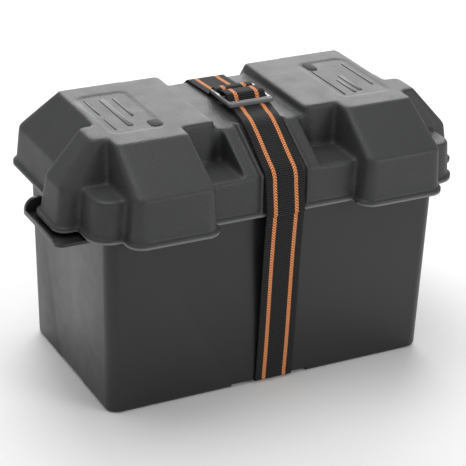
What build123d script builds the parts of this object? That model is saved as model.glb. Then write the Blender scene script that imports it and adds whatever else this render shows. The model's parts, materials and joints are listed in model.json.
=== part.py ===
"""Deep cycle battery in a strapped, vented battery box.

Millimetres, +Z up. The origin is the bottom centre of the whole object's box. X runs along the box,
and the front, where the loose end of the strap hangs, faces -Y.
"""

from build123d import *
from math import atan2, degrees, radians, tan
import os

os.makedirs("parts", exist_ok=True)

# ------------------------------------------------------------------ driving sizes
# Battery, a group 27 deep cycle size
battery_length = 304
battery_width = 171
battery_height = 225
case_wall = 3
cell_count = 6
partition = 2.4
cover_height = 14
cover_lap = 2
cover_round = 2
plates_per_cell = 11
plate_thick = 2.4
separator_thick = 0.9
plate_margin = 4
sediment = 8
head_space = 21  # over the bars, under the cover
lug_height = 14
lug_width = 12
bar_height = 6
bar_margin = 1

# Caps and terminals
vent_bore = 19
vent_row = 22
plug_depth = 8
plug_clearance = 0.4
cap_width = 36
cap_height = 9
cap_lift = 2
cap_round = 3
cap_corner = 9
seal_section = 0.8
post_taper = 1 / 9
post_height = 17
positive_post_size = 17.5
negative_post_size = 15.9
positive_stud_size = 9.5
negative_stud_size = 7.9
stud_chamfer = 1
post_base_length = 50
post_base_width = 24
post_base_height = 4
post_base_corner = 6
terminal_inset = 24
terminal_pitch = 27
stud_sink = 3
nut_clearance = 0.05
washer_clearance = 0.2
washer_thick = 1.6
nut_height = 7
hub_wall = 3.5
hub_taper = 1.5
wing_span = 27
wing_height = 13
wing_thick = 2.6
wing_round = 4
wing_inset = 1

# Tub, with room round the battery
end_room = 8
side_room = 2.5
top_room = 2
tub_wall = 3
tub_slope = 0.021  # how far each wall leans out per millimetre of height
tub_corner = 12
tub_edge = 4
cut_over = 1  # how far a cut runs past an open face
groove_depth = 4
groove_margin = 21  # on each side of the strap
end_groove = 54

# Carrying ledge at each end, with a lip along its edge and a half-round stop
ledge_drop = 6.3  # from the lid's rim down to the ledge
ledge_thick = 3
ledge_start = 3  # from the tub's middle to the ledge
ledge_margin = 10  # from the ledge to the tub's side
ledge_reach = 5  # beyond the rim of the lid's end bulge
ledge_corner = 8
ledge_lip = 1.6
stop_radius = 11.5
stop_rise = 1.5
stop_thick = 4

# Lid: rim, kink, plateau and the features that stand on the plinth
seat_gap = 0.3  # left between bodies that rest on each other
lid_wall = 3
lid_corner = 18
kink_corner = 16
least_corner = 0.5  # of a hollow
lip_reach = 2.6
lip_height = 4.5
skirt_height = 38
side_overlap = 14.3  # from the tub's end wall at the rim to the lid's rim
front_overlap = 8.6
skirt_taper = 3.2
front_taper = 1
crown_height = 37.8
crown_inset = 31
crown_root = 8
crown_corner = 4
pocket_depth = 50  # from the front rim back to the pockets' rear wall
pocket_lean = 6
saddle_drop = 8.3
saddle_margin = 7  # on each side of the nose
saddle_tuck = 14
saddle_corner = 2
saddle_slope = 6
nose_margin = 16.5  # on each side of the strap's channel
channel_gap = 2.5  # on each side of the strap
ridge_width = 3.4
ridge_height = 3
ridge_end = 12

# Bulges over the terminals, and at the ends
bulge_inner = 72
bulge_lean = 6
crown_tuck = 2  # how far a bulge's shelf runs past the plateau's end
corner_pocket = 26.3  # from a front bulge to the lid's end
bulge_reach = 21
bulge_kink_rise = 5.5
bulge_draft = 1.5
bulge_side_draft = 3
bulge_corner = 12
bulge_shelf = 17
end_bulge_reach = 19.6
end_bulge_from = 0.64  # shares of half the rim's width, from the middle to the front
end_bulge_to = 0.13
end_bulge_corner = 10
end_bulge_taper = 5
end_bulge_shelf = 16
end_bulge_lean = 14
end_bulge_back_lean = 6

# Blank label panels
panel_length = 50
panel_depth = 0.8
panel_corner = 8
panel_inset = 7  # from the plateau's outer and front edges
panel_back_inset = 23

# Webbing and its buckle
strap_width = 38
strap_thick = 1.5
strap_gap = 0.9
layer_gap = 0.3
fold_radius = 3
wrap_radius = 1.6
buckle_length = 42
buckle_margin = 3.2
buckle_bar = 5
buckle_thick = 3.4
buckle_middle = -6
middle_bar = 3.5
buckle_lift = 2.2
buckle_shift = 5  # to the right of the strap's middle
buckle_corner = 2
buckle_edge = 0.6
loop_bulge = 4
fold_reach = 14
fold_drop = 2
small_fold = 2

# ------------------------------------------------------------------ places worked out from them
tub_length = battery_length + 2 * (end_room + tub_wall)
tub_width = battery_width + 2 * (side_room + tub_wall)
floor_top = groove_depth + tub_wall
cover_top = floor_top + battery_height - post_base_height - post_height
tub_height = cover_top + top_room
plinth_top = tub_height + seat_gap + lid_wall
rim_height = plinth_top - skirt_height
ledge_height = rim_height - ledge_drop
lid_top = plinth_top + crown_height
saddle_top = lid_top - saddle_drop


def tub_span(foot_size, height):
    """A tub size, grown by the lean of both walls up to a height."""
    return foot_size + 2 * tub_slope * height


rim_x = tub_span(tub_length, rim_height) / 2 + side_overlap
rim_y = tub_span(tub_width, rim_height) / 2 + front_overlap
bulge_y = rim_y + bulge_reach
end_x = rim_x + end_bulge_reach
ledge_end = end_x + lip_reach + ledge_reach
pocket_y = rim_y - pocket_depth
kink_x = rim_x - skirt_taper
kink_back = rim_y - skirt_taper
kink_front = rim_y - front_taper
crown_x = kink_x - crown_inset
crown_y = kink_back - crown_inset
saddle_back = crown_y - saddle_slope
strap_channel = strap_width + 2 * channel_gap
nose_width = strap_channel + 2 * nose_margin
saddle_width = nose_width + 2 * saddle_margin
bulge_outer = rim_x - corner_pocket
end_bulge_front = -end_bulge_from * rim_y
end_bulge_back = -end_bulge_to * rim_y

nose_slope = degrees(atan2(saddle_top - plinth_top, kink_front - pocket_y))

strap_stack = strap_gap + strap_thick
back_reach = rim_y + lip_reach + strap_stack
front_reach = bulge_y + lip_reach
mid_y = (front_reach - back_reach) / 2  # sets the tub's middle so that the whole box is centred


def level(height):
    """A horizontal plane through the tub's middle."""
    return Plane((0, mid_y, height))


def across(x):
    """An upright plane, seen from the right end: its X runs to the back and its Y runs up."""
    return Plane(origin=(x, mid_y, 0), x_dir=(0, 1, 0), z_dir=(1, 0, 0))


def facing(y):
    """An upright plane, seen from the front: its X runs to the right and its Y runs up."""
    return Plane(origin=(0, mid_y + y, 0), x_dir=(1, 0, 0), z_dir=(0, -1, 0))


def box_between(low, high, radius):
    """A rounded rectangle between two corners, drawn in the sketch that is open."""
    centre = ((low[0] + high[0]) / 2, (low[1] + high[1]) / 2)
    with Locations(centre):
        RectangleRounded(high[0] - low[0], high[1] - low[1], radius)


# ------------------------------------------------------------------ tub
ledge_width = tub_width / 2 - ledge_start - ledge_margin
ledge_middle = ledge_start + ledge_width / 2

with BuildPart() as base_tub:
    for height in (0, tub_height):
        with BuildSketch(level(height)):
            RectangleRounded(tub_span(tub_length, height), tub_span(tub_width, height), tub_corner)
    loft(ruled=True)
    fillet(base_tub.edges().group_by(Axis.Z)[0], tub_edge)
    # strap groove from front to back, and a finger groove from end to end
    with BuildSketch(level(0)):
        Rectangle(strap_width + 2 * groove_margin, 2 * tub_width)
        Rectangle(2 * tub_length, end_groove)
    extrude(amount=groove_depth, mode=Mode.SUBTRACT)
    # carrying ledges, half a turn apart, each with its lip and stop
    for side in (-1, 1):
        with BuildSketch(level(ledge_height)) as ledge:
            with Locations((side * (tub_length / 2 + ledge_end) / 2, side * ledge_middle)):
                Rectangle(ledge_end - tub_length / 2, ledge_width)
            outer_corner = (side * ledge_end, side * (ledge_start + ledge_width))
            fillet(ledge.vertices().sort_by_distance(outer_corner)[0], ledge_corner)
        extrude(amount=ledge_thick)
        with BuildSketch(level(ledge_height + ledge_thick)):
            with Locations((side * (ledge_end - ledge_lip / 2), side * (ledge_middle - ledge_corner / 2))):
                Rectangle(ledge_lip, ledge_width - ledge_corner)
        extrude(amount=ledge_lip)
        with BuildSketch(facing(side * (ledge_start + stop_thick / 2))):
            with Locations((side * (ledge_end - stop_radius), ledge_height + ledge_thick + stop_rise)):
                Circle(stop_radius)
            with Locations((side * (ledge_end - stop_radius), ledge_height)):
                Rectangle(2 * stop_radius, 2 * stop_radius, align=(Align.CENTER, Align.MAX),
                          mode=Mode.SUBTRACT)
        extrude(amount=stop_thick / 2, both=True)
    # hollow
    for height in (floor_top, tub_height + cut_over):
        with BuildSketch(level(height)):
            RectangleRounded(
                tub_span(tub_length, height) - 2 * tub_wall,
                tub_span(tub_width, height) - 2 * tub_wall,
                tub_corner - tub_wall,
            )
    loft(ruled=True, mode=Mode.SUBTRACT)

base_tub.part.label = "base_tub"
export_step(base_tub.part, "parts/base_tub.step")


# ------------------------------------------------------------------ lid
def lid_block(sections, skin, open_bottom=False):
    """Loft one block of the lid through (height, low corner, high corner, radius) sections.

    skin draws it that far inside its outer faces, for the hollow.
    """
    outlines = []
    for index, (height, low, high, radius) in enumerate(sections):
        if index > 0:
            height -= skin
        elif skin and open_bottom:
            height -= cut_over
        with BuildSketch(level(height)) as outline:
            box_between(
                (low[0] + skin, low[1] + skin),
                (high[0] - skin, high[1] - skin),
                max(radius - skin, least_corner),
            )
        outlines.append(outline.sketch)
    loft(outlines, ruled=True)


def lid_outline():
    """The lid's outline at its rim, drawn in the sketch that is open."""
    RectangleRounded(2 * rim_x, 2 * rim_y, lid_corner)
    for side in (-1, 1):
        inner, outer = sorted((side * bulge_inner, side * bulge_outer))
        box_between((inner, -bulge_y), (outer, 0), bulge_corner)
        inner, outer = sorted((side * crown_x / 2, side * end_x))
        box_between((inner, end_bulge_front), (outer, end_bulge_back), end_bulge_corner)


def lid_form(skin):
    """The lid's outer form, or with a skin its hollow."""
    foot = rim_height - (cut_over if skin else 0)
    root = plinth_top - crown_root
    saddle_half = saddle_width / 2 + saddle_tuck
    with BuildPart() as form:
        # plinth all round
        lid_block(
            [
                (rim_height, (-rim_x, -rim_y), (rim_x, rim_y), lid_corner),
                (plinth_top, (-kink_x, -kink_front), (kink_x, kink_back), kink_corner),
            ],
            skin,
            open_bottom=True,
        )
        # saddle between the crowns, tucked under both
        lid_block(
            [
                (root, (-saddle_half, -pocket_y), (saddle_half, kink_back), saddle_corner),
                (plinth_top, (-saddle_half, -pocket_y), (saddle_half, kink_back), saddle_corner),
                (saddle_top, (-saddle_half, -pocket_y), (saddle_half, saddle_back), saddle_corner),
            ],
            skin,
        )
        # nose that carries the strap down to the front rim
        with BuildSketch(across(0)):
            with BuildLine():
                Polyline(
                    (skin - rim_y, foot),
                    (skin - kink_front, plinth_top - skin),
                    (skin - pocket_y, saddle_top - skin),
                    (0, saddle_top - skin),
                    (0, foot),
                    close=True,
                )
            make_face()
        extrude(amount=nose_width / 2 - skin, both=True)
        for side in (-1, 1):
            # crown
            low, high = sorted((side * (saddle_width / 2 - lid_wall), side * kink_x))
            top_low, top_high = sorted((side * saddle_width / 2, side * crown_x))
            lid_block(
                [
                    (root, (low, -pocket_y - pocket_lean), (high, kink_back), kink_corner),
                    (plinth_top, (low, -pocket_y - pocket_lean), (high, kink_back), kink_corner),
                    (lid_top, (top_low, -pocket_y), (top_high, crown_y), crown_corner),
                ],
                skin,
            )
            # front bulge over a terminal
            low, high = sorted((side * bulge_inner, side * bulge_outer))
            top_low, top_high = sorted((side * (bulge_inner + bulge_lean), side * (crown_x + crown_tuck)))
            kink_rise = plinth_top + bulge_kink_rise
            lid_block(
                [
                    (rim_height, (low, -bulge_y), (high, 0), bulge_corner),
                    (
                        kink_rise,
                        (low + bulge_side_draft, bulge_draft - bulge_y),
                        (high - bulge_side_draft, 0),
                        bulge_corner - bulge_side_draft,
                    ),
                    (lid_top, (top_low, -pocket_y - bulge_shelf), (top_high, 0), bulge_corner / 2),
                ],
                skin,
                open_bottom=True,
            )
            # end bulge
            low, high = sorted((side * crown_x / 2, side * end_x))
            kink_low, kink_high = sorted((side * crown_x / 2, side * (end_x - end_bulge_taper)))
            top_low, top_high = sorted((side * crown_x / 2, side * (crown_x + end_bulge_shelf)))
            lid_block(
                [
                    (rim_height, (low, end_bulge_front), (high, end_bulge_back), end_bulge_corner),
                    (
                        plinth_top,
                        (kink_low, end_bulge_front + bulge_side_draft),
                        (kink_high, end_bulge_back - bulge_side_draft),
                        end_bulge_corner,
                    ),
                    (
                        lid_top,
                        (top_low, end_bulge_front + end_bulge_lean),
                        (top_high, end_bulge_back - end_bulge_back_lean),
                        end_bulge_corner / 2,
                    ),
                ],
                skin,
                open_bottom=True,
            )
    return form.part


panel_width = pocket_y + crown_y - panel_inset - panel_back_inset
panel_x = crown_x - panel_inset - panel_length / 2
panel_y = panel_inset - pocket_y + panel_width / 2

with BuildPart() as lid:
    add(lid_form(0))
    # bead round the rim
    with BuildSketch(level(rim_height)):
        lid_outline()
        offset(amount=lip_reach)
    extrude(amount=lip_height)
    # ridges that keep the strap on the nose
    with BuildSketch(across(0)):
        with BuildLine():
            Polyline(
                (-rim_y, rim_height),
                (-rim_y - ridge_height, rim_height),
                (-kink_front - ridge_height, plinth_top + ridge_height * tan(radians(90 - nose_slope) / 2)),
                (-pocket_y - ridge_height * tan(radians(nose_slope) / 2), saddle_top + ridge_height),
                (ridge_end - pocket_y, saddle_top),
                (ridge_end - pocket_y, rim_height + lip_height),
                (-kink_front, rim_height + lip_height),
                close=True,
            )
        make_face()
    extrude(amount=strap_channel / 2 + ridge_width, both=True)
    with BuildSketch(across(0)):
        with BuildLine():
            Polyline(
                (-rim_y - lip_reach, rim_height),
                (-rim_y - lip_reach, rim_height + lip_height),
                (-rim_y, rim_height + lip_height),
                (-kink_front, plinth_top),
                (-pocket_y, saddle_top),
                (2 * ridge_end - pocket_y, saddle_top),
                (2 * ridge_end - pocket_y, saddle_top + lip_height),
                (-rim_y - 4 * lip_reach, saddle_top + lip_height),
                (-rim_y - 4 * lip_reach, rim_height),
                close=True,
            )
        make_face()
    extrude(amount=strap_channel / 2, both=True, mode=Mode.SUBTRACT)
    # blank label panels
    with BuildSketch(level(lid_top)):
        with Locations((-panel_x, panel_y), (panel_x, panel_y)):
            RectangleRounded(panel_length, panel_width, panel_corner)
    extrude(amount=-panel_depth, mode=Mode.SUBTRACT)
    add(lid_form(lid_wall), mode=Mode.SUBTRACT)

lid.part.label = "lid"
export_step(lid.part, "parts/lid.step")


# ------------------------------------------------------------------ webbing
def miter(turn):
    """How far a corner that turns by so many degrees shifts for each millimetre of offset."""
    return tan(radians(turn) / 2)


def front_path(rise, end_y):
    """The line of a layer over the front of the lid, a rise above its surface, from rim to buckle."""
    return [
        (-rim_y - lip_reach - rise, rim_height + seat_gap),
        (-rim_y - lip_reach - rise, rim_height + lip_height),
        (-kink_front - rise, plinth_top + rise * miter(90 - nose_slope)),
        (-pocket_y - rise * miter(nose_slope), saddle_top + rise),
        (end_y, saddle_top + rise + buckle_lift),
    ]


def webbing(points, radii, shift=0):
    """A run of webbing along (back, up) points from the tub's middle, shifted to the right."""
    with BuildPart() as run:
        with BuildSketch(across(shift)):
            with BuildLine():
                FilletPolyline(*points, radius=radii)
            trace(line_width=strap_thick)
        extrude(amount=strap_width / 2, both=True)
    return run.part


lower_rise = strap_gap + strap_thick / 2
upper_rise = lower_rise + strap_thick + layer_gap
buckle_front = buckle_middle - buckle_length / 2
buckle_back = buckle_middle + buckle_length / 2
strap_cut = buckle_front - layer_gap  # the front run ends here, just clear of the buckle's body
strap_side = -rim_y - lip_reach - lower_rise
foot_side = -tub_width / 2 - lower_rise
under_height = groove_depth - layer_gap - strap_thick / 2

strap_lower = webbing(
    [
        (strap_side, rim_height - seat_gap),
        (strap_side, ledge_height),
        (foot_side, groove_depth + tub_edge),
        (foot_side, under_height),
        (-foot_side, under_height),
        (-foot_side, groove_depth + tub_edge),
        (-strap_side, ledge_height),
        (-strap_side, rim_height - seat_gap),
    ],
    [fold_radius, fold_radius, small_fold, small_fold, fold_radius, fold_radius],
)
strap_front = webbing(front_path(lower_rise, strap_cut), fold_radius)
strap_tail = webbing(front_path(upper_rise, strap_cut), fold_radius)

bar_low = saddle_top + upper_rise + buckle_lift + strap_thick / 2 + layer_gap
bar_top = bar_low + buckle_thick
wrap = layer_gap + strap_thick / 2
far_bar_front = buckle_back - buckle_bar
strap_rear = webbing(
    [
        (-strap_side, rim_height + seat_gap),
        (-strap_side, rim_height + lip_height),
        (kink_back + lower_rise, plinth_top + lower_rise / 2),
        (saddle_back + lower_rise / 2, saddle_top + lower_rise),
        (saddle_back - fold_reach, saddle_top + lower_rise),
        (buckle_back + fold_reach, bar_low),
        (buckle_back + 2 * strap_thick, bar_top + wrap),
        (far_bar_front - wrap, bar_top + wrap),
        (far_bar_front - wrap, bar_low - wrap),
        (buckle_back, bar_low - wrap),
        (buckle_back + fold_reach - fold_drop, bar_low - wrap - fold_drop),
    ],
    [fold_radius] * 5 + [wrap_radius] * 3 + [fold_radius],
    buckle_shift,
)

middle_bar_front = buckle_middle - middle_bar / 2
slot_line = (buckle_middle + middle_bar / 2 + far_bar_front - wrap - strap_thick) / 2
loop_top = bar_top + loop_bulge
strap_loop = webbing(
    [
        (buckle_front, saddle_top + lower_rise + buckle_lift),
        (slot_line, saddle_top + lower_rise + buckle_lift),
        (slot_line, loop_top),
        (middle_bar_front - 2 * fold_radius, loop_top),
        (buckle_front + buckle_bar + 2 * strap_thick, saddle_top + upper_rise + buckle_lift),
        (buckle_front, saddle_top + upper_rise + buckle_lift),
    ],
    [small_fold, loop_bulge, loop_bulge, wrap_radius / 2],
    buckle_shift,
)

for name, run in (
    ("strap_lower", strap_lower),
    ("strap_front", strap_front),
    ("strap_tail", strap_tail),
    ("strap_rear", strap_rear),
    ("strap_loop", strap_loop),
):
    run.label = name
    export_step(run, f"parts/{name}.step")

# three-bar buckle
with BuildPart() as strap_buckle:
    with BuildSketch(level(bar_low)):
        with Locations((buckle_shift, buckle_middle)):
            RectangleRounded(strap_width + 2 * buckle_margin, buckle_length, buckle_corner)
        slot_width = strap_width + 2 * layer_gap
        with Locations((buckle_shift, (buckle_front + buckle_bar + middle_bar_front) / 2)):
            Rectangle(slot_width, middle_bar_front - buckle_front - buckle_bar, mode=Mode.SUBTRACT)
        with Locations((buckle_shift, (buckle_middle + middle_bar / 2 + far_bar_front) / 2)):
            Rectangle(slot_width, far_bar_front - buckle_middle - middle_bar / 2, mode=Mode.SUBTRACT)
    extrude(amount=buckle_thick)
    fillet(strap_buckle.edges().group_by(Axis.Z)[-1], buckle_edge)

strap_buckle.part.label = "strap_buckle"
export_step(strap_buckle.part, "parts/strap_buckle.step")

# ------------------------------------------------------------------ battery case and cover
case_length = battery_length - 2 * cover_lap
case_width = battery_width - 2 * cover_lap
case_top = cover_top - cover_height
case_floor = floor_top + case_wall
cell_length = (case_length - 2 * case_wall - (cell_count - 1) * partition) / cell_count
cell_width = case_width - 2 * case_wall
cell_pitch = cell_length + partition
cell_places = [(place - (cell_count - 1) / 2) * cell_pitch for place in range(cell_count)]

with BuildPart() as battery_case:
    with BuildSketch(level(floor_top)):
        RectangleRounded(case_length, case_width, case_wall)
    extrude(amount=case_top - floor_top)
    with BuildSketch(level(case_floor)):
        with Locations([(x, 0) for x in cell_places]):
            Rectangle(cell_length, cell_width)
    extrude(amount=case_top - case_floor, mode=Mode.SUBTRACT)

battery_case.part.label = "battery_case"
export_step(battery_case.part, "parts/battery_case.step")

with BuildPart() as battery_cover:
    with BuildSketch(level(case_top)):
        RectangleRounded(battery_length, battery_width, 2 * case_wall)
    extrude(amount=cover_height)
    fillet(battery_cover.edges().group_by(Axis.Z)[-1], cover_round)
    with BuildSketch(level(case_top)):
        RectangleRounded(case_length - 2 * case_wall, cell_width, case_wall)
    extrude(amount=cover_height - case_wall, mode=Mode.SUBTRACT)
    with BuildSketch(level(case_top)):
        with Locations([(x, vent_row) for x in cell_places]):
            Circle(vent_bore / 2)
    extrude(amount=cover_height, mode=Mode.SUBTRACT)

battery_cover.part.label = "battery_cover"
export_step(battery_cover.part, "parts/battery_cover.step")

# ------------------------------------------------------------------ plates, separators and bars
plate_pitch = (cell_length - 2 * separator_thick) / plates_per_cell
plate_width = cell_width - 2 * plate_margin
plate_foot = case_floor + sediment
plate_height = case_top - head_space - bar_height - lug_height - plate_foot
lug_foot = plate_foot + plate_height
lug_side = plate_width / 4


def plate_places(first, step, count):
    """Where the plates or separators of every cell stand, counted in half pitches."""
    places = []
    for cell in cell_places:
        for index in range(first, count, step):
            places.append((cell + (index / 2 - (plates_per_cell - 1) / 2) * plate_pitch, 0))
    return places


half_pitches = 2 * plates_per_cell - 1
bar_length = cell_length - 2 * separator_thick
for name, first, side in (("negative", 0, 1), ("positive", 2, -1)):
    with BuildPart() as plates:
        places = plate_places(first, 4, half_pitches)
        with BuildSketch(level(plate_foot)):
            with Locations(places):
                Rectangle(plate_thick, plate_width)
        extrude(amount=plate_height)
        with BuildSketch(level(lug_foot)):
            with Locations([(x, side * lug_side) for x, _ in places]):
                Rectangle(plate_thick, lug_width)
        extrude(amount=lug_height)
    plates.part.label = f"{name}_plates"
    export_step(plates.part, f"parts/{name}_plates.step")

    with BuildPart() as bars:
        with BuildSketch(level(lug_foot + lug_height)):
            with Locations([(x, side * lug_side) for x in cell_places]):
                RectangleRounded(bar_length, lug_width + 2 * bar_margin, 2 * bar_margin)
        extrude(amount=bar_height)
    bars.part.label = f"{name}_plate_bars"
    export_step(bars.part, f"parts/{name}_plate_bars.step")

with BuildPart() as plate_separators:
    with BuildSketch(level(plate_foot)):
        with Locations(plate_places(1, 2, half_pitches)):
            Rectangle(separator_thick, plate_width + plate_margin)
    extrude(amount=plate_height + separator_thick)

plate_separators.part.label = "plate_separators"
export_step(plate_separators.part, "parts/plate_separators.step")

# ------------------------------------------------------------------ gang caps
gang_count = cell_count // 2
for name, side in (("left", -1), ("right", 1)):
    holes = [(x, vent_row) for x in cell_places if x * side > 0]
    middle = sum(x for x, _ in holes) / gang_count
    cap_length = (gang_count - 1) * cell_pitch + cap_width
    cap_foot = cover_top + cap_lift
    with BuildPart() as cap:
        with BuildSketch(level(cap_foot)):
            with Locations((middle, vent_row)):
                RectangleRounded(cap_length, cap_width, cap_corner)
        extrude(amount=cap_height)
        fillet(cap.edges().group_by(Axis.Z)[-1], cap_round)
        with BuildSketch(level(cap_foot)):
            with Locations(holes):
                Circle(vent_bore / 2 - plug_clearance)
        extrude(amount=-cap_lift - plug_depth)
    cap.part.label = f"vent_cap_{name}"
    export_step(cap.part, f"parts/vent_cap_{name}.step")

    with BuildPart() as seals:
        with BuildSketch(level(cap_foot)):
            with Locations(holes):
                Circle(vent_bore / 2 + 2 * seal_section)
                Circle(vent_bore / 2 - plug_clearance, mode=Mode.SUBTRACT)
        extrude(amount=-2 * seal_section)
    seals.part.label = f"vent_seals_{name}"
    export_step(seals.part, f"parts/vent_seals_{name}.step")

# ------------------------------------------------------------------ terminals
terminal_x = battery_length / 2 - terminal_inset
post_y = -battery_width / 2 + terminal_inset
stud_y = post_y + terminal_pitch
base_middle = (post_y + stud_y) / 2
base_top = cover_top + post_base_height
wing_edge = wing_span / 2 - wing_inset

for name, side, post_size, stud_size in (
    ("positive", -1, positive_post_size, positive_stud_size),
    ("negative", 1, negative_post_size, negative_stud_size),
):
    x = side * terminal_x
    with BuildPart() as post:
        with BuildSketch(level(cover_top)):
            with Locations((x, base_middle)):
                RectangleRounded(post_base_width, post_base_length, post_base_corner)
        extrude(amount=post_base_height)
        for rise in (0, post_height):
            with BuildSketch(level(base_top + rise)):
                with Locations((x, post_y)):
                    Circle((post_size + (post_height - rise) * post_taper) / 2)
        loft()
        with BuildSketch(level(base_top)):
            with Locations((x, stud_y)):
                Circle(stud_size / 2 + nut_clearance)
        extrude(amount=-stud_sink, mode=Mode.SUBTRACT)
    post.part.label = f"{name}_post"
    export_step(post.part, f"parts/{name}_post.step")

    with BuildPart() as stud:
        with BuildSketch(level(base_top - stud_sink)):
            with Locations((x, stud_y)):
                Circle(stud_size / 2)
        extrude(amount=stud_sink + post_height)
        chamfer(stud.edges().group_by(Axis.Z)[-1], stud_chamfer)
    stud.part.label = f"{name}_stud"
    export_step(stud.part, f"parts/{name}_stud.step")

    with BuildPart() as washer:
        with BuildSketch(level(base_top)):
            with Locations((x, stud_y)):
                Circle(stud_size)
                Circle(stud_size / 2 + washer_clearance, mode=Mode.SUBTRACT)
        extrude(amount=washer_thick)
    washer.part.label = f"{name}_washer"
    export_step(washer.part, f"parts/{name}_washer.step")

    nut_foot = base_top + washer_thick + seat_gap
    wing_top = nut_foot + wing_height - 2 * wing_inset
    with BuildPart() as nut:
        for rise, wall in ((0, hub_wall), (nut_height, hub_wall - hub_taper)):
            with BuildSketch(level(nut_foot + rise)):
                with Locations((x, stud_y)):
                    Circle(stud_size / 2 + wall)
        loft()
        # two ears that lean out from the hub
        with BuildSketch(facing(stud_y)):
            for ear in (-1, 1):
                with Locations((x + ear * (wing_span / 2 - wing_round), nut_foot + wing_height - wing_round)):
                    Circle(wing_round)
                with BuildLine():
                    Polyline(
                        (x + ear * stud_size / 2, nut_foot + wing_inset),
                        (x + ear * wing_edge, wing_top - wing_round),
                        (x + ear * (wing_edge + 2 * (wing_inset - wing_round)), wing_top),
                        (x + ear * stud_size / 2, nut_foot + nut_height - wing_inset),
                        close=True,
                    )
                make_face()
        extrude(amount=wing_thick / 2, both=True)
        with BuildSketch(level(nut_foot - cut_over)):
            with Locations((x, stud_y)):
                Circle(stud_size / 2 + nut_clearance)
        extrude(amount=wing_height + 2 * cut_over, mode=Mode.SUBTRACT)
    nut.part.label = f"{name}_wing_nut"
    export_step(nut.part, f"parts/{name}_wing_nut.step")
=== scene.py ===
import json
from math import cos, pi, radians, sin, tan

import bpy
from mathutils import Matrix, Vector

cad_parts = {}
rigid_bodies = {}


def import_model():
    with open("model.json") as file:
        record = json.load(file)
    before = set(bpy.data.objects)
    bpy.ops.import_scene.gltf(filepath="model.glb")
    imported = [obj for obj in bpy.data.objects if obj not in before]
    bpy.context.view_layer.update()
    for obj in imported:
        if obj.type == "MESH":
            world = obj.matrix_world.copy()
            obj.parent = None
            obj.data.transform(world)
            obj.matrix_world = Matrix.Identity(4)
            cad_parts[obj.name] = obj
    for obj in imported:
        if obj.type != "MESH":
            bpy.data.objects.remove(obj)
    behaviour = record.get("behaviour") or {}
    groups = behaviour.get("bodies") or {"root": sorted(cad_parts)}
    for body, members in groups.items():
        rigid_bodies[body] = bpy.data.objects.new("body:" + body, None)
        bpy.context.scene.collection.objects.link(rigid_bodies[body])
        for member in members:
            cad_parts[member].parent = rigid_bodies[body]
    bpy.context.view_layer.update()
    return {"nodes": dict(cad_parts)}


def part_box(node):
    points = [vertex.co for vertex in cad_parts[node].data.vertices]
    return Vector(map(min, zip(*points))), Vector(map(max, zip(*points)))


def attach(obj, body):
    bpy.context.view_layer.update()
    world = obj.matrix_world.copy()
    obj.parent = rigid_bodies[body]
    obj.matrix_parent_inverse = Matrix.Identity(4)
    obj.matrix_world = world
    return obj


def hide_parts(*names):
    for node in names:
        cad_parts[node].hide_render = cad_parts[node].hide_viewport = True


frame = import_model()
bpy.ops.object.select_all(action="DESELECT")

# ------------------------------------------------------------------ camera
# The camera stands off the front left corner, above the lid, and its lens is a long one.
# It aims a little below the middle of the tub's height, and is rolled by under two degrees.
tub_low, tub_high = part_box("base_tub")
middle = (tub_low.y + tub_high.y) / 2

turn = radians(-27.47)
rise = radians(25.47)
roll = radians(1.79)
back = Vector((sin(turn) * cos(rise), -cos(turn) * cos(rise), sin(rise)))
level_right = Vector((cos(turn), sin(turn), 0))
level_up = back.cross(level_right)
aim_height, aim_right, aim_down = 0.1341, 0.00327, 0.01945
aim = Vector((0, middle, aim_height)) + level_right * aim_right - level_up * aim_down
right = level_right * cos(roll) + level_up * sin(roll)
up = level_up * cos(roll) - level_right * sin(roll)

camera_distance = 1.7879
bpy.ops.object.camera_add(location=aim + back * camera_distance)
camera = bpy.context.object
camera.rotation_euler = Matrix((right, up, back)).transposed().to_euler()
camera.data.lens = 145.9
camera.data.sensor_width = 36
bpy.context.scene.camera = camera

# ------------------------------------------------------------------ floor and light
# A white studio: a pale floor under a bright surround. The main softbox stands behind, so that
# the tops shine. A second hangs overhead, and a third in front lights the near walls.
bpy.ops.mesh.primitive_plane_add(size=12, location=(0, 0, 0))
floor = bpy.context.object
floor.name = "floor"
paper = bpy.data.materials.new("floor_paper")
paper.use_nodes = True
shader = paper.node_tree.nodes["Principled BSDF"]
shader.inputs["Base Color"].default_value = (0.92, 0.92, 0.92, 1)
shader.inputs["Roughness"].default_value = 0.9
floor.data.materials.append(paper)

studio = bpy.data.worlds.new("studio")
bpy.context.scene.world = studio
studio.use_nodes = True
surround = studio.node_tree.nodes["Background"]
surround.inputs["Color"].default_value = (1, 1, 1, 1)
surround.inputs["Strength"].default_value = 0.55
bpy.context.scene.view_settings.view_transform = "Standard"


def hang_softbox(name, place, size, power):
    """A softbox of that width and height that faces the middle of the object."""
    bpy.ops.object.light_add(type="AREA", location=place)
    lamp = bpy.context.object
    lamp.name = name
    lamp.data.shape = "RECTANGLE"
    lamp.data.size = size[0]
    lamp.data.size_y = size[1]
    lamp.data.energy = power
    target_height = 0.15
    towards = Vector((0, middle, target_height)) - Vector(place)
    lamp.rotation_euler = towards.to_track_quat("-Z", "Y").to_euler()


hang_softbox("back_softbox", (0.9, 1.9, 1.0), size=(1.8, 1.0), power=30)
hang_softbox("top_softbox", (-0.2, 0.3, 1.7), size=(1.2, 1.0), power=12)
hang_softbox("front_softbox", (1.2, -1.8, 0.9), size=(1.0, 0.8), power=14)

# ------------------------------------------------------------------ tub
# The tub is one thin injection moulding in black polypropylene, with carrying ledges at its ends.
# Its outside is nearly smooth, and shows faint flow marks and handling scuffs.


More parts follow.
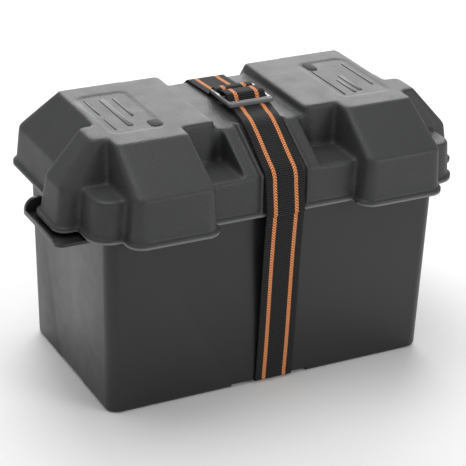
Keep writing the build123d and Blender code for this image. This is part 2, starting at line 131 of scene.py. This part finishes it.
def moulded_plastic(name, colour, roughness, grain, depth, scuff, gloss=0.5):
    """Filled polypropylene: a grain of that size in metres, with cloudy colour and fine scuffs."""
    speckle_per_depth, most_speckle = 900, 0.35
    cloud_contrast = 0.05
    material = bpy.data.materials.new(name)
    material.use_nodes = True
    nodes = material.node_tree.nodes
    link = material.node_tree.links.new
    shader = nodes["Principled BSDF"]
    shader.inputs["Specular IOR Level"].default_value = gloss
    place = nodes.new("ShaderNodeTexCoord")

    clouds = nodes.new("ShaderNodeTexNoise")
    clouds.inputs["Scale"].default_value = 9
    clouds.inputs["Detail"].default_value = 4
    link(place.outputs["Object"], clouds.inputs["Vector"])
    tint = nodes.new("ShaderNodeValToRGB")
    tint.color_ramp.elements[0].position = 0.3
    tint.color_ramp.elements[0].color = (*[c * (1 - cloud_contrast) for c in colour], 1)
    tint.color_ramp.elements[1].position = 0.7
    tint.color_ramp.elements[1].color = (*[c * (1 + cloud_contrast) for c in colour], 1)
    link(clouds.outputs["Fac"], tint.inputs["Fac"])

    pebbles = nodes.new("ShaderNodeTexVoronoi")
    pebbles.feature = "SMOOTH_F1"
    pebbles.inputs["Scale"].default_value = 1 / grain
    pebbles.inputs["Smoothness"].default_value = 0.6
    link(place.outputs["Object"], pebbles.inputs["Vector"])
    speckle = nodes.new("ShaderNodeMix")
    speckle.data_type = "RGBA"
    speckle.blend_type = "MULTIPLY"
    speckle.inputs["Factor"].default_value = min(speckle_per_depth * depth, most_speckle)
    link(tint.outputs["Color"], speckle.inputs["A"])
    link(pebbles.outputs["Distance"], speckle.inputs["B"])
    link(speckle.outputs["Result"], shader.inputs["Base Color"])

    scuffs = nodes.new("ShaderNodeTexNoise")
    scuffs.inputs["Scale"].default_value = 60
    scuffs.inputs["Detail"].default_value = 6
    link(place.outputs["Object"], scuffs.inputs["Vector"])
    shine = nodes.new("ShaderNodeMapRange")
    shine.inputs["From Min"].default_value = 0.35
    shine.inputs["From Max"].default_value = 0.7
    shine.inputs["To Min"].default_value = roughness - scuff
    shine.inputs["To Max"].default_value = roughness + scuff
    link(scuffs.outputs["Fac"], shine.inputs["Value"])
    link(shine.outputs["Result"], shader.inputs["Roughness"])

    bump = nodes.new("ShaderNodeBump")
    bump.inputs["Strength"].default_value = 1
    bump.inputs["Distance"].default_value = depth
    link(pebbles.outputs["Distance"], bump.inputs["Height"])
    link(bump.outputs["Normal"], shader.inputs["Normal"])
    return material


def worked_copy(node, name):
    """A copy of a CAD node as one mesh, with its doubled corners merged and its normals its own."""
    piece = bpy.data.objects.new(name, frame["nodes"][node].data.copy())
    bpy.context.collection.objects.link(piece)
    bpy.ops.object.select_all(action="DESELECT")
    bpy.context.view_layer.objects.active = piece
    piece.select_set(True)
    bpy.ops.object.mode_set(mode="EDIT")
    bpy.ops.mesh.select_all(action="SELECT")
    same_place = 0.00001
    bpy.ops.mesh.remove_doubles(threshold=same_place)
    bpy.ops.object.mode_set(mode="OBJECT")
    bpy.ops.mesh.customdata_custom_splitnormals_clear()
    return piece


def ease_edges(piece, width, steps):
    """Make the flats of a piece whole, and round every crisp edge to that width."""
    flat, crisp = radians(0.4), radians(32)
    bpy.ops.object.mode_set(mode="EDIT")
    bpy.ops.mesh.select_all(action="SELECT")
    bpy.ops.mesh.dissolve_limited(angle_limit=flat)
    bpy.ops.object.mode_set(mode="OBJECT")
    bevel = piece.modifiers.new("eased_edges", "BEVEL")
    bevel.width = width
    bevel.segments = steps
    bevel.limit_method = "ANGLE"
    bevel.angle_limit = crisp
    bpy.ops.object.modifier_apply(modifier=bevel.name)
    bpy.ops.object.shade_smooth_by_angle(angle=crisp)


def finish_piece(piece, material, slot, body, *nodes):
    """Give a piece its material and its place on the object, and let it stand for its CAD nodes."""
    piece.data.materials.clear()
    piece.data.materials.append(material)
    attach(piece, body)
    if nodes:
        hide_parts(*nodes)


tub_plastic = moulded_plastic(
    "tub_polypropylene", (0.0102, 0.0112, 0.0106), roughness=0.36, grain=0.0014, depth=0.00004, scuff=0.03
)
tub = worked_copy("base_tub", "tub")
ease_edges(tub, width=0.0009, steps=3)
finish_piece(tub, tub_plastic, "tub_plastic", "box", "base_tub")

# ------------------------------------------------------------------ lid
# The lid is a thick moulding with generous rounds on every edge and a pebbled outside. It is made
# as a fine even skin, eased until the edges are soft, and kept crisper at the rim, the strap's
# ridges and the panels. A band along the rim's foot is coloured paler, as a painted highlight.
lid_low, lid_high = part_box("lid")
lid = worked_copy("lid", "vented_lid")
lid.data.remesh_voxel_size = 0.00192
bpy.ops.object.voxel_remesh()
bpy.ops.object.mode_set(mode="EDIT")
bpy.ops.mesh.select_all(action="DESELECT")
bpy.ops.object.mode_set(mode="OBJECT")
# Painted highlight: the downward faces at the rim's foot, and one ring round them, are marked to be
# coloured paler.
rim_rise = 0.018
for face in lid.data.polygons:
    face.select = face.normal.z < -0.9 and face.center.z < lid_low.z + rim_rise
bpy.ops.object.mode_set(mode="EDIT")
bpy.ops.mesh.select_more()
bpy.ops.object.mode_set(mode="OBJECT")
rim = lid.data.attributes.new("painted_rim_highlight", "FLOAT", "POINT")
for corner in lid.data.vertices:
    rim.data[corner.index].value = 1 if corner.select else 0
bead_top, full_ease = 0.004, 0.012
ridge_x, ridge_y = 0.0275, -0.036
panel_middle, panel_half, panel_depth = 0.115, 0.03, 0.0014
rim_ease, ridge_ease, panel_ease = 0.12, 0.15, 0.2
softness = lid.vertex_groups.new(name="softness")
for corner in lid.data.vertices:
    ease = min(1, max(rim_ease, (corner.co.z - lid_low.z - bead_top) / full_ease))
    if abs(corner.co.x) < ridge_x and corner.co.y < middle + ridge_y:
        ease = ridge_ease
    if corner.co.z > lid_high.z - panel_depth and abs(abs(corner.co.x) - panel_middle) < panel_half:
        ease = panel_ease
    softness.add([corner.index], ease, "REPLACE")
rounds = lid.modifiers.new("rounds", "SMOOTH")
rounds.factor = 0.5
rounds.iterations = 13
rounds.vertex_group = "softness"
bpy.ops.object.modifier_apply(modifier=rounds.name)
bpy.ops.object.shade_smooth()
lid_plastic = moulded_plastic(
    "lid_polypropylene",
    (0.038, 0.039, 0.0396),
    roughness=0.50,
    grain=0.0013,
    depth=0.00022,
    scuff=0.03,
    gloss=0.40,
)
nodes = lid_plastic.node_tree.nodes
link = lid_plastic.node_tree.links.new
# The marked rim band is mixed towards pale grey: a painted highlight where the lip catches the light.
rim_highlight_mask = nodes.new("ShaderNodeAttribute")
rim_highlight_mask.attribute_name = "painted_rim_highlight"
paler = nodes.new("ShaderNodeMix")
paler.data_type = "RGBA"
paler.inputs["B"].default_value = (0.16, 0.163, 0.168, 1)
shader = nodes["Principled BSDF"]
link(rim_highlight_mask.outputs["Fac"], paler.inputs["Factor"])
link(shader.inputs["Base Color"].links[0].from_socket, paler.inputs["A"])
link(paler.outputs["Result"], shader.inputs["Base Color"])
finish_piece(lid, lid_plastic, "lid_plastic", "lid", "lid")

# ------------------------------------------------------------------ blank marks on the lid
# Each crown has a moulded panel for markings, left blank here. Plain raised bars stand where the
# lines of lettering would be, with a small dark date window on the left and an oval on the right.
bar_height = 0.0008
panel_floor = lid_high.z - bar_height
window_plastic = moulded_plastic(
    "window_polypropylene",
    (0.040, 0.041, 0.042),
    roughness=0.75,
    grain=0.0009,
    depth=0.00003,
    scuff=0.03,
    gloss=0.25,
)


def join_onto(piece, made):
    """Join what was made for a piece into it. The piece stays selected and active."""
    bpy.ops.object.select_all(action="DESELECT")
    for part in (*made, piece):
        part.select_set(True)
    bpy.context.view_layer.objects.active = piece
    if made:
        bpy.ops.object.join()


for piece_name, finish, corner_share, bars in (
    (
        "left_panel_bars",
        lid_plastic,
        0.3,
        [
            (-0.1330, 0.020, 0.0014, 0.036),
            (-0.1330, -0.022, 0.0014, 0.026),
            (-0.1170, 0.002, 0.0056, 0.066),
            (-0.1060, 0.012, 0.0026, 0.044),
        ],
    ),
    (
        "right_panel_bars",
        lid_plastic,
        0.3,
        [
            (0.0960, -0.006, 0.0012, 0.064),
            (0.1080, -0.020, 0.0030, 0.034),
            (0.1150, -0.014, 0.0038, 0.040),
            (0.1330, 0.004, 0.0016, 0.058),
        ],
    ),
    ("left_date_window", window_plastic, 0.6, [(-0.0945, -0.034, 0.013, 0.015)]),
    ("right_oval_boss", window_plastic, 0.98, [(0.1000, 0.037, 0.010, 0.019)]),
):
    made = []
    for x, y, width, length in bars:
        bpy.ops.mesh.primitive_cube_add(size=1, location=(x, middle + y, panel_floor))
        bar = bpy.context.object
        bar.scale = (width, length, bar_height)
        bpy.ops.object.transform_apply(location=True, rotation=True, scale=True)
        bpy.ops.object.mode_set(mode="EDIT")
        bpy.ops.mesh.select_mode(type="EDGE")
        bpy.ops.mesh.select_all(action="DESELECT")
        bpy.ops.object.mode_set(mode="OBJECT")
        for edge in bar.data.edges:
            first, second = (bar.data.vertices[index].co for index in edge.vertices)
            edge.select = abs(first.z - second.z) > bar_height / 2
        bpy.ops.object.mode_set(mode="EDIT")
        bpy.ops.mesh.bevel(offset=corner_share * width / 2, segments=6, affect="EDGES")
        bpy.ops.mesh.select_mode(type="FACE")
        bpy.ops.mesh.select_all(action="DESELECT")
        bpy.ops.object.mode_set(mode="OBJECT")
        for face in bar.data.polygons:
            face.select = face.normal.z > 0.9
        bpy.ops.object.mode_set(mode="EDIT")
        bpy.ops.mesh.inset(thickness=0.0002, depth=0.00012)
        bpy.ops.object.mode_set(mode="OBJECT")
        made.append(bar)
    marks = made[0]
    join_onto(marks, made[1:])
    marks.name = piece_name
    bpy.ops.object.shade_smooth_by_angle(angle=radians(40))
    finish_piece(marks, finish, "lid_plastic", "lid")

# ------------------------------------------------------------------ webbing
# The strap is 38 mm polypropylene webbing, black with two orange lines, in a ribbed weave. It is
# one band: under the tub, up both sides, and over the lid to the buckle.
strap_low, strap_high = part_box("strap_front")
strap_width = strap_high.x - strap_low.x
strap_thick = 0.0015


def woven_webbing():
    """Ribs across the band and a chevron in each line. The counts are for a strap's width."""
    line_place, line_half = 0.277, 0.049
    rib_count, end_count, chevron_count, chevron_slant = 19, 18, 14, 1.1
    material = bpy.data.materials.new("striped_webbing")
    material.use_nodes = True
    nodes = material.node_tree.nodes
    link = material.node_tree.links.new
    shader = nodes["Principled BSDF"]
    shader.inputs["Roughness"].default_value = 0.72
    shader.inputs["Specular IOR Level"].default_value = 0.22
    shader.inputs["Sheen Weight"].default_value = 0.02

    def maths(operation, first, second):
        node = nodes.new("ShaderNodeMath")
        node.operation = operation
        for socket, value in zip(node.inputs, (first, second)):
            if isinstance(value, (int, float)):
                socket.default_value = value
            else:
                link(value, socket)
        return node.outputs["Value"]

    band = nodes.new("ShaderNodeUVMap")
    band.uv_map = "band"
    parts = nodes.new("ShaderNodeSeparateXYZ")
    link(band.outputs["UV"], parts.inputs["Vector"])
    across_band, along_band = parts.outputs["X"], parts.outputs["Y"]

    off_middle = maths("ABSOLUTE", maths("SUBTRACT", across_band, 0.5), 0)
    off_line = maths("ABSOLUTE", maths("SUBTRACT", off_middle, line_place), 0)
    line = maths("LESS_THAN", off_line, line_half)

    ribs = maths("SINE", maths("MULTIPLY", along_band, 2 * pi * rib_count), 0)
    ends = maths("SINE", maths("MULTIPLY", across_band, 2 * pi * end_count), 0)
    weave = maths("MULTIPLY", ribs, maths("ADD", maths("MULTIPLY", ends, 0.5), 0.5))
    slanted = maths("ADD", along_band, maths("MULTIPLY", off_line, chevron_slant))
    chevron = maths("SINE", maths("MULTIPLY", slanted, 2 * pi * chevron_count), 0)

    # The black's colour follows the weave's height: painted shade in the grooves and a painted highlight
    # on the rib crests, over the black yarn's own colour.
    black = nodes.new("ShaderNodeMapRange")
    black.inputs["From Min"].default_value = -0.2
    black.inputs["To Min"].default_value = 0
    link(weave, black.inputs["Value"])
    yarn_and_rib_shading = nodes.new("ShaderNodeMix")
    yarn_and_rib_shading.data_type = "RGBA"
    yarn_and_rib_shading.inputs["A"].default_value = (0.001, 0.001, 0.0012, 1)
    yarn_and_rib_shading.inputs["B"].default_value = (0.042, 0.042, 0.044, 1)
    link(black.outputs["Result"], yarn_and_rib_shading.inputs["Factor"])
    # The orange follows the chevrons' height: painted shade in the gaps between them and a painted
    # highlight on their crests, over the orange yarn's own colour.
    chevron_shading = nodes.new("ShaderNodeMapRange")
    chevron_shading.inputs["From Min"].default_value = -1
    link(chevron, chevron_shading.inputs["Value"])
    orange = nodes.new("ShaderNodeMix")
    orange.data_type = "RGBA"
    orange.inputs["A"].default_value = (0.25, 0.055, 0.012, 1)
    orange.inputs["B"].default_value = (1.0, 0.40, 0.15, 1)
    link(chevron_shading.outputs["Result"], orange.inputs["Factor"])
    colour = nodes.new("ShaderNodeMix")
    colour.data_type = "RGBA"
    link(line, colour.inputs["Factor"])
    link(yarn_and_rib_shading.outputs["Result"], colour.inputs["A"])
    link(orange.outputs["Result"], colour.inputs["B"])
    link(colour.outputs["Result"], shader.inputs["Base Color"])

    height = nodes.new("ShaderNodeMix")
    link(line, height.inputs["Factor"])
    link(weave, height.inputs["A"])
    link(chevron, height.inputs["B"])
    bump = nodes.new("ShaderNodeBump")
    bump.inputs["Distance"].default_value = 0.00025
    link(height.outputs["Result"], bump.inputs["Height"])
    link(bump.outputs["Normal"], shader.inputs["Normal"])
    return material


def lay_webbing(name, route, node, body):
    """A band along (side, depth, height, radius) points, in metres from the tub's middle."""
    columns, arc_steps, row_length = 8, 8, 0.004
    spots = [Vector((side, middle + depth, height)) for side, depth, height, radius in route]
    line = [spots[0]]
    for before, spot, after, (_, _, _, radius) in zip(spots, spots[1:], spots[2:], route[1:]):
        inward, outward = (before - spot).normalized(), (after - spot).normalized()
        cut = radius / tan(inward.angle(outward) / 2)
        start, end = spot + inward * cut, spot + outward * cut
        for step in range(arc_steps + 1):
            t = step / arc_steps
            line.append(start * (1 - t) ** 2 + spot * 2 * t * (1 - t) + end * t ** 2)
    line.append(spots[-1])

    rows = [line[0]]
    for here in line[1:]:
        gap = here - rows[-1]
        pieces = max(1, round(gap.length / row_length))
        start = rows[-1].copy()
        for count in range(1, pieces + 1):
            t = count / pieces
            row = start.lerp(here, t)
            row.x = start.x + gap.x * t * t * (3 - 2 * t)
            rows.append(row)

    mesh = bpy.data.meshes.new(name)
    verts, uvs, travelled = [], [], 0
    for index, row in enumerate(rows):
        if index:
            travelled += (row - rows[index - 1]).length
        for column in range(columns + 1):
            share = column / columns
            verts.append(row + Vector(((share - 0.5) * strap_width, 0, 0)))
            uvs.append((share, travelled / strap_width))
    row_step = columns + 1
    faces = [
        (corner, corner + 1, corner + 1 + row_step, corner + row_step)
        for row_start in range(0, (len(rows) - 1) * row_step, row_step)
        for corner in range(row_start, row_start + columns)
    ]
    mesh.from_pydata(verts, [], faces)
    layer = mesh.uv_layers.new(name="band")
    for loop in mesh.loops:
        layer.data[loop.index].uv = uvs[loop.vertex_index]
    band = bpy.data.objects.new(name, mesh)
    bpy.context.collection.objects.link(band)
    bpy.ops.object.select_all(action="DESELECT")
    bpy.context.view_layer.objects.active = band
    band.select_set(True)
    thickness = band.modifiers.new("thickness", "SOLIDIFY")
    thickness.thickness = strap_thick
    thickness.offset = 0
    bpy.ops.object.modifier_apply(modifier=thickness.name)
    rolled = band.modifiers.new("rolled_edge", "BEVEL")
    rolled.width = 0.00045
    rolled.segments = 3
    rolled.limit_method = "ANGLE"
    rolled.angle_limit = radians(60)
    bpy.ops.object.modifier_apply(modifier=rolled.name)
    bpy.ops.object.shade_smooth_by_angle(angle=radians(50))
    finish_piece(band, webbing, "webbing", body, node)


webbing = woven_webbing()
lay_webbing(
    "band_under_tub",
    [
        (-0.0005, -0.10759, 0.1780, 0),
        (-0.0005, -0.10759, 0.1720, 0.003),
        (0.0026, -0.09265, 0.0080, 0.003),
        (0.0026, -0.09265, 0.00295, 0.002),
        (0.0005, 0.09265, 0.00295, 0.002),
        (0.0005, 0.09265, 0.0080, 0.003),
        (0.0008, 0.10759, 0.1720, 0.003),
        (0.0008, 0.10759, 0.1780, 0),
    ],
    "strap_lower",
    "box",
)
lay_webbing(
    "band_over_front",
    [
        (-0.0005, -0.10759, 0.1786, 0),
        (-0.0008, -0.10759, 0.1828, 0.003),
        (-0.0020, -0.10479, 0.21803, 0.013),
        (0.0005, -0.0541, 0.24800, 0.032),
        (0.0045, -0.0273, 0.24965, 0),
    ],
    "strap_front",
    "front_flap",
)
lay_webbing(
    "band_tail",
    [
        (-0.0005, -0.10939, 0.1786, 0),
        (-0.0008, -0.10939, 0.1828, 0.003),
        (-0.0020, -0.10669, 0.21915, 0.014),
        (0.0005, -0.0546, 0.24985, 0.034),
        (0.0045, -0.0273, 0.25145, 0),
    ],
    "strap_tail",
    "front_flap",
)
lay_webbing(
    "band_over_back",
    [
        (0.0010, 0.10759, 0.1786, 0),
        (0.0010, 0.10759, 0.1828, 0.003),
        (0.0015, 0.10179, 0.21713, 0.006),
        (0.0020, 0.06397, 0.24745, 0.006),
        (0.0040, 0.0225, 0.24780, 0.0025),
        (0.0048, 0.0160, 0.25695, 0.0025),
        (0.0048, 0.00895, 0.25695, 0.0016),
        (0.0048, 0.00895, 0.25145, 0.0016),
        (0.0047, 0.0145, 0.25145, 0),
    ],
    "strap_rear",
    "rear_flap",
)
lay_webbing(
    "band_loop",
    [
        (0.0047, -0.0270, 0.24965, 0),
        (0.0050, 0.0016, 0.24965, 0.002),
        (0.0050, 0.0016, 0.2599, 0.0052),
        (0.0050, -0.01375, 0.2599, 0.0060),
        (0.0048, -0.0190, 0.25145, 0.001),
        (0.0047, -0.0270, 0.25145, 0),
    ],
    "strap_loop",
    "rear_flap",
)

# ------------------------------------------------------------------ buckle
# A three-bar slide in dark grey acetal, moulded in one shot. The webbing grips round its bars,
# and the front bar has two raised ridges to pull on.
acetal = moulded_plastic(
    "buckle_acetal", (0.17, 0.173, 0.178), roughness=0.33, grain=0.0009, depth=0.00003, scuff=0.06
)
buckle_low, buckle_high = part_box("strap_buckle")
buckle = worked_copy("strap_buckle", "ladder_buckle")
ease_edges(buckle, width=0.0004, steps=2)
ridge_margin, ridge_width, ridge_height = 0.001, 0.0013, 0.0014
buckle_x = (buckle_low.x + buckle_high.x) / 2
made = []
for setback in (0.0009, 0.0040):
    bpy.ops.mesh.primitive_cube_add(size=1, location=(buckle_x, buckle_low.y + setback, buckle_high.z))
    ridge = bpy.context.object
    ridge.scale = (buckle_high.x - buckle_low.x - 2 * ridge_margin, ridge_width, ridge_height)
    bpy.ops.object.transform_apply(location=True, rotation=True, scale=True)
    bpy.ops.object.mode_set(mode="EDIT")
    bpy.ops.mesh.select_all(action="SELECT")
    bpy.ops.mesh.bevel(offset=0.0003, segments=3, affect="EDGES")
    bpy.ops.object.mode_set(mode="OBJECT")
    made.append(ridge)
join_onto(buckle, made)
bpy.ops.object.shade_smooth_by_angle(angle=radians(40))
finish_piece(buckle, acetal, "buckle", "rear_flap", "strap_buckle")

# ------------------------------------------------------------------ battery case and cover
# The battery's case is a polypropylene box moulded round six cells, with a cover welded on top.
# The case is black and the cover dark grey, and each cell wall shows as a faint rib outside.
case_low, case_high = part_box("battery_case")
case_plastic = moulded_plastic(
    "case_polypropylene", (0.022, 0.023, 0.024), roughness=0.38, grain=0.0013, depth=0.00006, scuff=0.06
)
case = worked_copy("battery_case", "cell_case")
ease_edges(case, width=0.0006, steps=2)
cell_count = 6
rib_width, rib_depth, rib_margin = 0.004, 0.0012, 0.01
made = []
for index in range(1, cell_count):
    for face_y in (case_low.y, case_high.y):
        x = case_low.x + (case_high.x - case_low.x) * index / cell_count
        bpy.ops.mesh.primitive_cube_add(size=1, location=(x, face_y, (case_low.z + case_high.z) / 2))
        rib = bpy.context.object
        rib.scale = (rib_width, rib_depth, case_high.z - case_low.z - 2 * rib_margin)
        bpy.ops.object.transform_apply(location=True, rotation=True, scale=True)
        bpy.ops.object.mode_set(mode="EDIT")
        bpy.ops.mesh.select_all(action="SELECT")
        bpy.ops.mesh.bevel(offset=0.0005, segments=2, affect="EDGES")
        bpy.ops.object.mode_set(mode="OBJECT")
        made.append(rib)
join_onto(case, made)
bpy.ops.object.shade_smooth_by_angle(angle=radians(32))
finish_piece(case, case_plastic, "case_plastic", "box", "battery_case")

cover_plastic = moulded_plastic(
    "cover_polypropylene", (0.070, 0.072, 0.075), roughness=0.45, grain=0.0012, depth=0.00008, scuff=0.05
)
cover = worked_copy("battery_cover", "welded_cover")
ease_edges(cover, width=0.0005, steps=2)
finish_piece(cover, cover_plastic, "cover_plastic", "box", "battery_cover")

# ------------------------------------------------------------------ plates, separators and bars
# Pasted lead plates stand in each cell between ribbed separators. A cast lead bar joins the lugs
# of the plates of one kind. All are hidden by the case, and are left as the CAD has them.


def cast_lead(name, colour, roughness, patch):
    """Dull cast or pasted metal, with cloudy oxide patches and a fine rough skin."""
    oxide_shade = 0.6
    material = bpy.data.materials.new(name)
    material.use_nodes = True
    nodes = material.node_tree.nodes
    link = material.node_tree.links.new
    shader = nodes["Principled BSDF"]
    shader.inputs["Metallic"].default_value = 0.75
    shader.inputs["Roughness"].default_value = roughness
    place = nodes.new("ShaderNodeTexCoord")
    oxide = nodes.new("ShaderNodeTexNoise")
    oxide.inputs["Scale"].default_value = patch
    oxide.inputs["Detail"].default_value = 8
    link(place.outputs["Object"], oxide.inputs["Vector"])
    tint = nodes.new("ShaderNodeValToRGB")
    tint.color_ramp.elements[0].position = 0.35
    tint.color_ramp.elements[0].color = (*[c * oxide_shade for c in colour], 1)
    tint.color_ramp.elements[1].position = 0.65
    tint.color_ramp.elements[1].color = (*colour, 1)
    link(oxide.outputs["Fac"], tint.inputs["Fac"])
    link(tint.outputs["Color"], shader.inputs["Base Color"])
    bump = nodes.new("ShaderNodeBump")
    bump.inputs["Distance"].default_value = 0.0002
    link(oxide.outputs["Fac"], bump.inputs["Height"])
    link(bump.outputs["Normal"], shader.inputs["Normal"])
    return material


def give_material(node, material):
    """Give a material to a CAD node that keeps its own shape."""
    frame["nodes"][node].data.materials.clear()
    frame["nodes"][node].data.materials.append(material)


lead = cast_lead("cast_lead", (0.36, 0.37, 0.39), roughness=0.48, patch=160)
for node, colour in (
    ("positive_plates", (0.13, 0.085, 0.06)),
    ("negative_plates", (0.22, 0.225, 0.235)),
):
    paste = cast_lead(f"{node}_paste", colour, roughness=0.8, patch=220)
    give_material(node, paste)
for node in ("positive_plate_bars", "negative_plate_bars"):
    give_material(node, lead)
polyethylene = moulded_plastic(
    "separator_polyethylene", (0.42, 0.43, 0.41), roughness=0.55, grain=0.0016, depth=0.0001, scuff=0.05
)
give_material("plate_separators", polyethylene)

# ------------------------------------------------------------------ gang caps
# Three vent plugs share one moulded cap on each half of the battery, sealed by rubber rings. The
# cap is polypropylene, and a raised ring stands over each plug.
cap_plastic = moulded_plastic(
    "cap_polypropylene", (0.026, 0.027, 0.028), roughness=0.36, grain=0.0010, depth=0.00004, scuff=0.06
)
rubber = moulded_plastic(
    "seal_rubber", (0.016, 0.016, 0.016), roughness=0.7, grain=0.0007, depth=0.00004, scuff=0.04
)
ring_radius, ring_bead, ring_sink = 0.0105, 0.0009, 0.0001
plug_room = 0.036
for side in ("left", "right"):
    node = f"vent_cap_{side}"
    cap_low, cap_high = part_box(node)
    cap = worked_copy(node, f"gang_cap_{side}")
    ease_edges(cap, width=0.0005, steps=2)
    made = []
    for index in (-1, 0, 1):
        x = (cap_low.x + cap_high.x) / 2 + index * (cap_high.x - cap_low.x - plug_room) / 2
        bpy.ops.mesh.primitive_torus_add(
            location=(x, (cap_low.y + cap_high.y) / 2, cap_high.z - ring_sink),
            major_radius=ring_radius,
            minor_radius=ring_bead,
            major_segments=48,
            minor_segments=10,
        )
        bpy.ops.object.transform_apply(location=True, rotation=True, scale=True)
        made.append(bpy.context.object)
    join_onto(cap, made)
    bpy.ops.object.shade_smooth_by_angle(angle=radians(35))
    finish_piece(cap, cap_plastic, "cap_plastic", f"{side}_cap", node)
    give_material(f"vent_seals_{side}", rubber)

# ------------------------------------------------------------------ terminals
# Each terminal is a cast lead base with a tapered post and a threaded steel stud. A flat washer
# and a forged wing nut hold the cable's ring down.


def plated_steel(name, roughness, thread):
    """Zinc plated steel with a fine spangle, and a thread of that pitch where one is cut."""
    metre_wave = 0.314
    material = bpy.data.materials.new(name)
    material.use_nodes = True
    nodes = material.node_tree.nodes
    link = material.node_tree.links.new
    shader = nodes["Principled BSDF"]
    shader.inputs["Metallic"].default_value = 1
    shader.inputs["Roughness"].default_value = roughness
    place = nodes.new("ShaderNodeTexCoord")
    spangle = nodes.new("ShaderNodeTexNoise")
    spangle.inputs["Scale"].default_value = 300
    spangle.inputs["Detail"].default_value = 5
    link(place.outputs["Object"], spangle.inputs["Vector"])
    tint = nodes.new("ShaderNodeValToRGB")
    tint.color_ramp.elements[0].position = 0.3
    tint.color_ramp.elements[0].color = (0.42, 0.43, 0.44, 1)
    tint.color_ramp.elements[1].position = 0.7
    tint.color_ramp.elements[1].color = (0.66, 0.67, 0.68, 1)
    link(spangle.outputs["Fac"], tint.inputs["Fac"])
    link(tint.outputs["Color"], shader.inputs["Base Color"])
    bump = nodes.new("ShaderNodeBump")
    bump.inputs["Distance"].default_value = 0.0003 if thread else 0.00004
    if thread:
        turns = nodes.new("ShaderNodeTexWave")
        turns.bands_direction = "Z"
        turns.inputs["Scale"].default_value = metre_wave / thread
        link(place.outputs["Object"], turns.inputs["Vector"])
        link(turns.outputs["Fac"], bump.inputs["Height"])
    else:
        link(spangle.outputs["Fac"], bump.inputs["Height"])
    link(bump.outputs["Normal"], shader.inputs["Normal"])
    return material


steel = plated_steel("zinc_plated_steel", roughness=0.34, thread=0)
threaded = plated_steel("threaded_steel", roughness=0.3, thread=0.0015)
for pole in ("positive", "negative"):
    post = worked_copy(f"{pole}_post", f"{pole}_lead_post")
    ease_edges(post, width=0.0008, steps=3)
    finish_piece(post, lead, "lead", "box", f"{pole}_post")
    nut = worked_copy(f"{pole}_wing_nut", f"{pole}_forged_nut")
    ease_edges(nut, width=0.0006, steps=3)
    finish_piece(nut, steel, "steel", f"{pole}_nut", f"{pole}_wing_nut")
    for node, finish in ((f"{pole}_stud", threaded), (f"{pole}_washer", steel)):
        give_material(node, finish)
